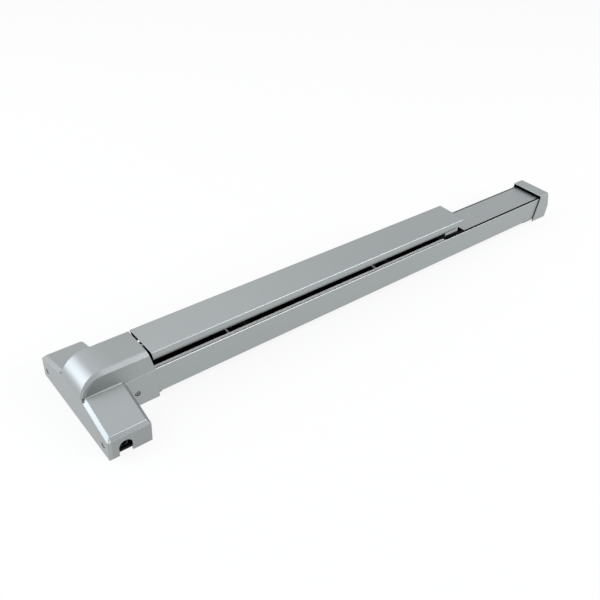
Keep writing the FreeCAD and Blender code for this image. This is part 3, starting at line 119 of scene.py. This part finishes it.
floor_mesh = bpy.data.meshes.new("floor")
floor_shape = bmesh.new()
bmesh.ops.create_grid(floor_shape, x_segments=1, y_segments=1, size=30.0)
bmesh.ops.translate(floor_shape, verts=floor_shape.verts, vec=(0.0, 0.0, -0.0004))
floor_shape.to_mesh(floor_mesh)
floor_shape.free()
floor = bpy.data.objects.new("floor", floor_mesh)
scene.collection.objects.link(floor)
paper = bpy.data.materials.new("paper")
paper.use_nodes = True
paper_tree = paper.node_tree
paper_tree.nodes.remove(paper_tree.nodes["Principled BSDF"])
paper_lit = paper_tree.nodes.new("ShaderNodeBsdfDiffuse")
paper_lit.inputs["Color"].default_value = (0.86, 0.86, 0.87, 1.0)
paper_seen = paper_tree.nodes.new("ShaderNodeEmission")
mix_seen(paper_tree, 0.86, paper_lit, paper_seen, "Material Output")
floor_mesh.materials.append(paper)


# The head cover is a T-shaped zinc casting sprayed silver-grey, with a fine orange peel and a
# sparkle of flake in the paint. It drops over the chassis and is held by four small screws.
class Field:
    """A value that varies over a surface: one socket in a finish's tree of nodes."""

    def __init__(self, tree, socket):
        self.tree = tree
        self.socket = socket

    def node(self, kind, settings, inputs, output=0):
        made = self.tree.nodes.new(kind)
        for name, value in settings.items():
            setattr(made, name, value)
        for name, value in inputs.items():
            if isinstance(value, Field):
                self.tree.links.new(value.socket, made.inputs[name])
            else:
                made.inputs[name].default_value = value
        return Field(self.tree, made.outputs[output])

    def maths(self, operation, first, second):
        return self.node("ShaderNodeMath", {"operation": operation}, {0: first, 1: second})

    def __add__(self, other):
        return self.maths("ADD", self, other)

    __radd__ = __add__

    def __sub__(self, other):
        return self.maths("SUBTRACT", self, other)

    def __rsub__(self, other):
        return self.maths("SUBTRACT", other, self)

    def __mul__(self, other):
        return self.maths("MULTIPLY", self, other)

    __rmul__ = __mul__

    def __gt__(self, other):
        return self.maths("GREATER_THAN", self, other)

    def __lt__(self, other):
        return self.maths("LESS_THAN", self, other)

    def __or__(self, other):
        return self.maths("MAXIMUM", self, other)

    def at_least(self, least):
        return self.maths("MAXIMUM", self, least)

    def at_most(self, most):
        return self.maths("MINIMUM", self, most)

    def size(self):
        return self.maths("ABSOLUTE", self, 0.0)

    def axis(self, name):
        """One coordinate of a place."""
        return self.node("ShaderNodeSeparateXYZ", {}, {"Vector": self}, "XYZ".index(name))

    def noise(self, scale, detail=2.0):
        """A cloud over a place."""
        return self.node("ShaderNodeTexNoise", {}, {"Vector": self, "Scale": scale, "Detail": detail})

    def stretched(self, factors):
        return self.node("ShaderNodeMapping", {}, {"Vector": self, "Scale": factors})

    def mixed(self, share, other):
        """This colour, gone over to another by share; the other is a field or three numbers."""
        settings = {"data_type": "RGBA", "clamp_factor": True}
        second = other if isinstance(other, Field) else (*other, 1.0)
        return self.node("ShaderNodeMix", settings, {0: share, 6: self, 7: second}, 2)

    def between(self, low, high):
        """A colour that goes from low to high with this share."""
        settings = {"data_type": "RGBA", "clamp_factor": True}
        return self.node("ShaderNodeMix", settings, {0: self, 6: (*low, 1.0), 7: (*high, 1.0)}, 2)

    def ring(self, centre, across, inner, outer):
        """1 where a place is between two distances from a line through centre, or from its twin
        beyond the bar's middle plane; across is 0 along the line and 1 along the other axes."""
        mirrored = self.node("ShaderNodeVectorMath", {"operation": "ABSOLUTE"}, {0: self})
        away = self.node("ShaderNodeVectorMath", {"operation": "SUBTRACT"}, {0: mirrored, 1: centre})
        away = self.node("ShaderNodeVectorMath", {"operation": "MULTIPLY"}, {0: away, 1: across})
        gap = self.node("ShaderNodeVectorMath", {"operation": "LENGTH"}, {0: away}, "Value")
        return (gap > inner) * (gap < outer)

    def bump(self, strength, depth, edge_radius):
        """A surface whose height is this field, on corners that are rounded by edge_radius."""
        rounded = self.soft_edge(edge_radius)
        inputs = {"Height": self, "Strength": strength, "Distance": depth, "Normal": rounded}
        return self.node("ShaderNodeBump", {}, inputs)

    def soft_edge(self, radius):
        return self.node("ShaderNodeBevel", {"samples": 4}, {"Radius": radius})


def finish(name):
    """A new finish, with its shader and the place on the piece."""
    made = bpy.data.materials.new(name)
    made.use_nodes = True
    shader = made.node_tree.nodes["Principled BSDF"]
    place = Field(made.node_tree, None).node("ShaderNodeTexCoord", {}, {}, "Object")
    return made, shader, place


def feed(shader, **sockets):
    for name, value in sockets.items():
        socket = shader.inputs[name.replace("_", " ")]
        if isinstance(value, Field):
            value.tree.links.new(value.socket, socket)
        else:
            socket.default_value = value


def wear(node, made):
    """Puts a finish on a node of the frame."""
    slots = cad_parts[node].data.materials
    slots.clear()
    slots.append(made)


PAINT = (0.375, 0.398, 0.402)
PAINT_DEEP = (0.340, 0.363, 0.367)
PAINT_METAL = 0.90
# Near black, for painted shade.
SHADE_BLACK = (0.006, 0.006, 0.006)
# Pale tones for painted light: on lips lying in shade, and as highlights along edges.
LIGHT_PALE = (0.86, 0.88, 0.88)
LIGHT_PALE_DEEP = (0.74, 0.76, 0.77)


def silver_paint(name, peel, edge, shade_of, light_of=None, part_shade_of=None):
    """Sprayed silver-grey; peel is how rough its skin is, edge how rounded its corners are.
    From a place on the piece, the first mask makes what is painted near black as shade, the second
    the share painted pale and dull as light, and the third the share darkened part way as shade."""
    made, shader, place = finish(name)
    cloud = place.noise(9.0, 3.0)
    flake = place.noise(2600.0, 1.0)
    skin = place.noise(620.0)
    tone = (cloud * 0.6 + flake * 0.4).between(PAINT_DEEP, PAINT)
    gloss = 0.36 + cloud * 0.05 + flake * 0.04
    # Painted shade darkens the paint part way, and near black where its mask is full.
    if part_shade_of is not None:
        tone = tone.mixed(part_shade_of(place), SHADE_BLACK)
    mask = shade_of(place)
    tone = tone.mixed(mask, SHADE_BLACK)
    gloss = gloss + mask * 0.25
    metal = PAINT_METAL + mask * (1.0 - PAINT_METAL)
    # Painted light turns the paint pale and dull.
    if light_of is not None:
        lightened = light_of(place)
        tone = tone.mixed(lightened, cloud.between(LIGHT_PALE_DEEP, LIGHT_PALE))
        metal = metal - lightened * PAINT_METAL
    normal = (skin * peel + flake * 0.2).bump(0.12, 0.00012, edge)
    feed(shader, Base_Color=tone, Roughness=gloss, Metallic=metal, Normal=normal)
    return made


def screw_ring(place, node, axis, inner, outer):
    """1 between two distances from the axis of a node's screws, one at each side of the bar."""
    low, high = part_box(node)
    head_radius = (high.z - low.z) / 2
    centre = ((low.x + high.x) / 2, high.y - head_radius, (low.z + high.z) / 2)
    across = [0.0 if name == axis else 1.0 for name in "XYZ"]
    return place.ring(centre, across, inner, outer)


def shade_in_cover(place):
    """Painted shade, near black: the inside, as seen through the outlets, and the seats under the
    heads of the four screws.
    """
    low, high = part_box("head_cover")
    wall = 0.0024
    arm_width = 0.0600
    outlet_top = 0.0230
    arm_start = 0.0400
    seat_radius = 0.0040
    left_wall = 0.0050
    along = place.axis("X")
    beside = place.axis("Y").size()
    inside = (along > low.x + wall) * (along < low.x + arm_width - wall) * (beside < high.y - wall)
    inside = inside * (beside > arm_start) * (place.axis("Z") < outlet_top)
    face_seats = screw_ring(place, "head_face_screws", "X", 0.0, seat_radius)
    skirt_seats = screw_ring(place, "skirt_screws", "Y", 0.0, seat_radius)
    return inside | skirt_seats | face_seats * (along < low.x + left_wall)


def shade_on_cover(place):
    """Painted shade: the paint is darkened on the sides of the nose, most of all at their left next to
    the arms, and a little on its top and on the arms' end faces and their chamfers, which dims their
    highlights."""
    low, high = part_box("head_cover")
    shoulder = 0.0485
    nose_side = (0.0285, 0.0335)
    side_shade, side_fade_end, side_fade = 0.07, 0.0500, 4.0
    nose_flat_half = 0.0225
    nose_top = 0.0600
    top_shade, top_fade_start, top_fade = 0.13, -0.0040, 5.0
    chamfer_foot = 0.0293
    chamfer_run = 0.0043
    chamfer_shade = 0.45
    face_skin = 0.0002
    face_shade = 0.14
    left_chamfer = 0.0048
    along = place.axis("X")
    beside = place.axis("Y").size()
    height = place.axis("Z")
    side = (beside > nose_side[0]) * (beside < nose_side[1]) * (height > shoulder)
    side = side * (((side_fade_end - along) * side_fade).at_least(0.0) + side_shade)
    chamfer = (beside > high.y - chamfer_run) * (beside < high.y - face_skin) * (height > chamfer_foot)
    ends = chamfer * chamfer_shade + (beside > high.y - face_skin) * face_shade
    ends = ends * (along > low.x + left_chamfer)
    top = (beside < nose_flat_half) * (height > nose_top)
    top = top * ((along - top_fade_start) * top_fade).at_least(0.0).at_most(top_shade)
    return side | ends | top


# The cover's inside, its screw seats and parts of its nose and arm ends carry painted shade.
wear("head_cover", silver_paint("cover_paint", 1.0, 0.0010, shade_in_cover, part_shade_of=shade_on_cover))


# The chassis is a zinc casting that screws flat to the door under the head cover. It carries the
# rod guides, the bosses for the two rockers and the lugs for the cover's screws. The tail bracket
# is cast too; all but their faces on the door is painted near black as shade under the cover.
def cast_metal(name, light, dark, shine, shaded_above):
    """A grey casting straight from its die, painted near black as shade above the height given last.
    """
    made, shader, place = finish(name)
    cloud = place.noise(42.0, 4.0)
    sand = place.noise(1400.0, 3.0)
    cast_shade = place.axis("Z") > shaded_above
    tone = (cloud * 0.7 + sand * 0.3).between(dark, light)
    tone = tone.mixed(cast_shade, cloud.between((0.004, 0.004, 0.004), (0.010, 0.010, 0.010)))
    normal = (sand + cloud).bump(0.25, 0.0002, 0.0004)
    feed(shader, Base_Color=tone, Roughness=shine + cloud * 0.16, Metallic=1.0, Normal=normal)
    return made


door_face_skin = 0.0004
casting = cast_metal("zinc_casting", (0.44, 0.44, 0.45), (0.34, 0.34, 0.35), 0.46, door_face_skin)
wear("head_chassis", casting)
wear("tail_bracket", casting)


# The channel is an aluminium extrusion, sprayed outside and painted near black within as shade. It is
# screwed down on the chassis' tongue at the head and on the small bracket at the tail.
def past_cap_mouth(place, margin):
    """1 beyond the leaning mouth of the end cap, less a margin."""
    lean = 5.0 / 56.0
    return place.axis("X") - place.axis("Z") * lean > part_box("end_cap")[0].x - margin


def pad_end():
    """Where the open slot in front of the pad's end guide stops."""
    clearance = 0.0040
    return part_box("pad_end_guide")[0].x - clearance


def shade_in_channel(place):
    """Painted shade, near black: the inside, what the cap covers, the foot of the step along the lips,
    and the seam at the tail cover plate."""
    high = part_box("channel")[1]
    skin = 0.0002
    side_wall = 0.0019
    lip_depth = 0.0034
    slot_wall = 0.0022
    seam_wall = 0.0006
    groove = (0.0040, 0.0016)
    groove_skin = 0.0003
    along = place.axis("X")
    across = place.axis("Y")
    height = place.axis("Z")
    beside = across.size()
    behind_pad = along > pad_end()
    within = (beside < high.y - side_wall) * (height < high.z - lip_depth)
    under_plate = (beside < high.y - slot_wall) * behind_pad * (height < high.z - skin)
    near_seam = behind_pad * (across > seam_wall - high.y) * (across < 0.0)
    step_foot = (beside > high.y - groove[0]) * (beside < high.y - groove[1])
    step_foot = step_foot * (height < high.z - groove_skin)
    return within | under_plate | near_seam | step_foot | past_cap_mouth(place, skin)


def light_on_channel(place):
    """Painted light: the tops of the two lips along the pad, painted pale where the pad shades them,
    and a painted highlight along the two long top edges, less and less towards the tail."""
    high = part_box("channel")[1]
    groove = 0.0040
    lip_depth = 0.0028
    edge_width = 0.0010
    edge_share, edge_fade_end, edge_fade = 0.75, 0.6500, 1.6
    along = place.axis("X")
    beside = place.axis("Y").size()
    height = place.axis("Z")
    lips = (along < pad_end()) * (beside < high.y - groove) * (height > high.z - lip_depth)
    edges = (beside > high.y - edge_width) * (height > high.z - edge_width)
    return lips | edges * ((edge_fade_end - along) * edge_fade).at_least(0.0).at_most(edge_share)


wear("channel", silver_paint("channel_paint", 0.6, 0.0011, shade_in_channel, light_on_channel))


# Two pressed steel brackets are riveted to the channel's floor and hold the bell cranks. All the
# pressed pieces are plated with bright zinc, which shows a faint bloom and the sheet's grain; where
# they sit in shade they are painted near black.
def plated_steel(name, light, dark, shine, shaded_below):
    """Bright zinc plate, painted near black as shade up to the height given last."""
    made, shader, place = finish(name)
    bloom = place.noise(60.0, 3.0)
    grain = place.stretched((90.0, 2200.0, 2200.0)).noise(1.0)
    plate_shade = place.axis("Z") < shaded_below
    tone = (bloom * 0.65 + grain * 0.35).between(dark, light)
    tone = tone.mixed(plate_shade, grain.between((0.010, 0.010, 0.009), (0.022, 0.021, 0.020)))
    gloss = shine + bloom * 0.10 + grain * 0.08
    normal = grain.bump(0.15, 0.00008, 0.0003)
    feed(shader, Base_Color=tone, Roughness=gloss, Metallic=0.35 + plate_shade * 0.65, Normal=normal)
    return made


# Painted shade: the crank brackets are near black up to a bright rim at their top; the pad's brackets,
# the link and the retractor plate all over.
unshaded_rim = 0.0018
all_but_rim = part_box("head_crank_bracket")[1].z - unshaded_rim
all_over = 0.060
nowhere = 0.0
plates = [
    ("bright_plate", (0.86, 0.86, 0.84), (0.70, 0.71, 0.72), 0.24, all_but_rim,
     ["head_crank_bracket", "tail_crank_bracket"]),
    ("shaded_plate", (0.10, 0.10, 0.095), (0.06, 0.06, 0.06), 0.30, all_over,
     ["head_pad_bracket", "tail_pad_bracket", "actuating_link", "retractor_plate"]),
    ("inner_plate", (0.50, 0.50, 0.48), (0.36, 0.37, 0.38), 0.28, nowhere,
     ["upper_guide_plate", "lower_guide_plate", "upper_rocker", "lower_rocker"]),
]
for name, light, dark, shine, shaded_below, nodes in plates:
    plate = plated_steel(name, light, dark, shine, shaded_below)
    for node in nodes:
        wear(node, plate)

# The bell cranks are cast and painted near black all over as shade, and turn on headed pivots;
# turned pins join them to the pad's brackets and to the link. Rivets and shoulder pivots are of the
# same turned steel, and the rods' connectors of blacked steel.
crank_metal = cast_metal("crank_casting", (0.10, 0.10, 0.095), (0.06, 0.06, 0.058), 0.42, 0.0)
wear("head_bell_crank", crank_metal)
wear("tail_bell_crank", crank_metal)


def turned_steel(name, light, dark, shine):
    made, shader, place = finish(name)
    bloom = place.noise(120.0, 3.0)
    tone = bloom.between(dark, light)
    normal = place.noise(1800.0).bump(0.10, 0.00006, 0.0002)
    feed(shader, Base_Color=tone, Roughness=shine + bloom * 0.12, Metallic=1.0, Normal=normal)
    return made


steel = turned_steel("turned_steel", (0.62, 0.61, 0.59), (0.48, 0.48, 0.47), 0.20)
turned = [
    "bracket_rivets", "retractor_rivets", "rocker_pivots", "upper_rocker_pins", "lower_rocker_pins",
    "head_crank_pivot", "tail_crank_pivot", "head_pad_pin", "tail_pad_pin", "head_link_pin",
    "tail_link_pin",
]
for node in turned:
    wear(node, steel)
blacked = turned_steel("blacked_steel", (0.050, 0.050, 0.052), (0.022, 0.022, 0.024), 0.30)
for node in ["upper_rod_connector", "lower_rod_connector"]:
    wear(node, blacked)


# The push pad is an aluminium extrusion, sprayed silver-grey outside. Its long edges are rounded,
# its flanks curl in towards the channel, and its inside and lower curl are painted near black as
# shade.
def shade_in_pad(place):
    """Painted shade, near black: under the top and behind the flanks, whose curl turns round two
    lines along the pad, and more and more down the curl."""
    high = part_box("push_pad")[1]
    curl_radius = 0.0140
    curl_drop = 0.0077
    wall = 0.0004
    top_wall = 0.0019
    shade_drop, shade_rate = 0.0080, 50.0
    height = place.axis("Z")
    outward = (place.axis("Y").size() - (high.y - curl_radius)).at_least(0.0)
    down = (high.z - curl_drop - height).at_least(0.0)
    within = outward * outward + down * down < (curl_radius - wall) ** 2
    curl_shade = ((high.z - shade_drop - height) * shade_rate).at_least(0.0)
    return curl_shade | within * (height < high.z - top_wall)


wear("push_pad", silver_paint("pad_paint", 0.6, 0.0013, shade_in_pad))

# A moulded block of grey plastic closes the pad's tail end and slides between the channel's lips.
# Its foot and its end face inside the pad are painted near black as shade.
guide_plastic, guide_shader, guide_place = finish("guide_plastic")
guide_cloud = guide_place.noise(30.0)
guide_skin = guide_place.noise(1500.0)
foot_height = 0.0014
end_skin = 0.0012
guide_foot = guide_place.axis("Z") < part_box("channel")[1].z + foot_height
guide_face = guide_place.axis("X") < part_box("pad_end_guide")[0].x + end_skin
guide_tone = (guide_cloud * 0.7 + guide_skin * 0.3).between((0.36, 0.37, 0.38), (0.42, 0.43, 0.44))
guide_shade = guide_cloud.between((0.012, 0.012, 0.012), (0.020, 0.020, 0.020))
guide_tone = guide_tone.mixed(guide_foot | guide_face, guide_shade)
guide_gloss = 0.50 + guide_skin * 0.12
guide_normal = guide_skin.bump(0.20, 0.0001, 0.0004)
feed(guide_shader, Base_Color=guide_tone, Roughness=guide_gloss, Metallic=0.0, Normal=guide_normal)
wear("pad_end_guide", guide_plastic)


# The tail cover plate snaps between the channel's lips behind the pad, flush with the channel's
# sides; the end cap is a zinc casting that slides over the channel's end. Both are sprayed, with
# painted shade at their seams and inside.
def shade_on_plate(place):
    """Painted shade, near black: the plate's two side faces, its near long edge, and what the cap
    covers.
    """
    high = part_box("tail_cover_plate")[1]
    skin = 0.0001
    top_skin = 0.0002
    edge_width = 0.0004
    across = place.axis("Y")
    sides = (across.size() > high.y - skin) * (place.axis("Z") < high.z - top_skin)
    return sides | (across < edge_width - high.y) | past_cap_mouth(place, top_skin)


def shade_in_cap(place):
    """Painted shade, near black: the hollow, and the rim of the mouth round the channel."""
    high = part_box("end_cap")[1]
    side_wall = 0.0015
    top_wall = 0.0022
    end_wall = 0.0146
    mouth_depth = 0.0004
    mouth_wall = 0.0010
    mouth_top = 0.0048
    beside = place.axis("Y").size()
    height = place.axis("Z")
    hollow = (beside < high.y - side_wall) * (height < high.z - top_wall)
    hollow = hollow * (place.axis("X") < high.x - end_wall)
    mouth = 1.0 - past_cap_mouth(place, -mouth_depth)
    return hollow | mouth * (beside < high.y - mouth_wall) * (height < high.z - mouth_top)


wear("tail_cover_plate", silver_paint("plate_paint", 0.6, 0.0003, shade_on_plate))
wear("end_cap", silver_paint("cap_paint", 1.0, 0.0006, shade_in_cap))


# The screws are small zinc-plated steel ones with a cross recess, painted near black as shade in their
# recesses. Those in the cover sink into their seats, and a painted ring of shade goes round the head.
def screw_steel(node, axis, light, face_depth):
    """Plated steel, painted brighter or duller by light, for how the light falls on each screw;
    face_depth says, from the place along the axis, how far below the head's face it is."""
    face_skin = 0.00010
    rim, beyond_seat = 0.0028, 0.0050
    dull = 0.74 * light
    made, shader, place = finish(node + "_steel")
    bloom = place.noise(120.0, 3.0)
    # Painted shade, near black: the cross recess, and a ring round the head where it sinks into its
    # seat.
    recess = face_depth(place.axis(axis)) > face_skin
    if axis != "Z":
        recess = recess | screw_ring(place, node, axis, rim, beyond_seat)
    bright = bloom.between([dull] * 3, [light] * 3)
    tone = bright.mixed(recess, bloom.between((0.006, 0.006, 0.006), (0.014, 0.014, 0.014)))
    gloss = 0.28 + bloom * 0.12 + recess * 0.3
    feed(shader, Base_Color=tone, Roughness=gloss, Metallic=1.0, Normal=place.soft_edge(0.0002))
    wear(node, made)


# Each screw's plating is painted brighter or duller by how the light falls on it.
screw_steel("head_face_screws", "X", 0.92, lambda x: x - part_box("head_face_screws")[0].x)
screw_steel("skirt_screws", "Y", 0.38, lambda y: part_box("skirt_screws")[1].y - y.size())
screw_steel("end_cap_screw", "X", 0.70, lambda x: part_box("end_cap_screw")[1].x - x)
screw_steel("guide_plate_screws", "Z", 0.70, lambda z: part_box("guide_plate_screws")[1].z - z)
screw_steel("channel_floor_screws", "Z", 0.70, lambda z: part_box("channel_floor_screws")[1].z - z)


# Each return spring is a coil of spring wire with closed ends. It stands between a tab of the link
# and the end wall of a crank bracket, and shortens as the link is pulled.
wire_radius = 0.0007
turns = 7.5
points_in_turn = 28
end_closing = 0.75
spring_wire = turned_steel("spring_wire", (0.40, 0.40, 0.41), (0.26, 0.26, 0.27), 0.24)
for side in ("head", "tail"):
    node = side + "_return_spring"
    low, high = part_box(node)
    middle = (low + high) / 2
    coil_radius = (high.z - low.z) / 2 - wire_radius
    start_x = low.x + wire_radius
    span = high.x - low.x - 2 * wire_radius
    curve = bpy.data.curves.new(side + "_coil", "CURVE")
    curve.dimensions = "3D"
    curve.bevel_depth = wire_radius
    curve.bevel_resolution = 3
    curve.use_fill_caps = True
    line = curve.splines.new("POLY")
    count = int(turns * points_in_turn)
    line.points.add(count)
    for i in range(count + 1):
        share = i / count
        turned_by = 2 * math.pi * turns * share
        eased = share - math.sin(2 * math.pi * share) / (2 * math.pi) * end_closing
        x = start_x + span * eased
        y = middle.y + coil_radius * math.cos(turned_by)
        z = middle.z + coil_radius * math.sin(turned_by)
        line.points[i].co = (x, y, z, 1.0)
    holder = bpy.data.objects.new(side + "_coil_line", curve)
    coil_mesh = bpy.data.meshes.new_from_object(holder)
    bpy.data.objects.remove(holder)
    for face in coil_mesh.polygons:
        face.use_smooth = True
    coil_mesh.materials.clear()
    coil_mesh.materials.append(spring_wire)
    coil = bpy.data.objects.new(side + "_spring_coil", coil_mesh)
    scene.collection.objects.link(coil)
    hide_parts(node)
    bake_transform(coil)
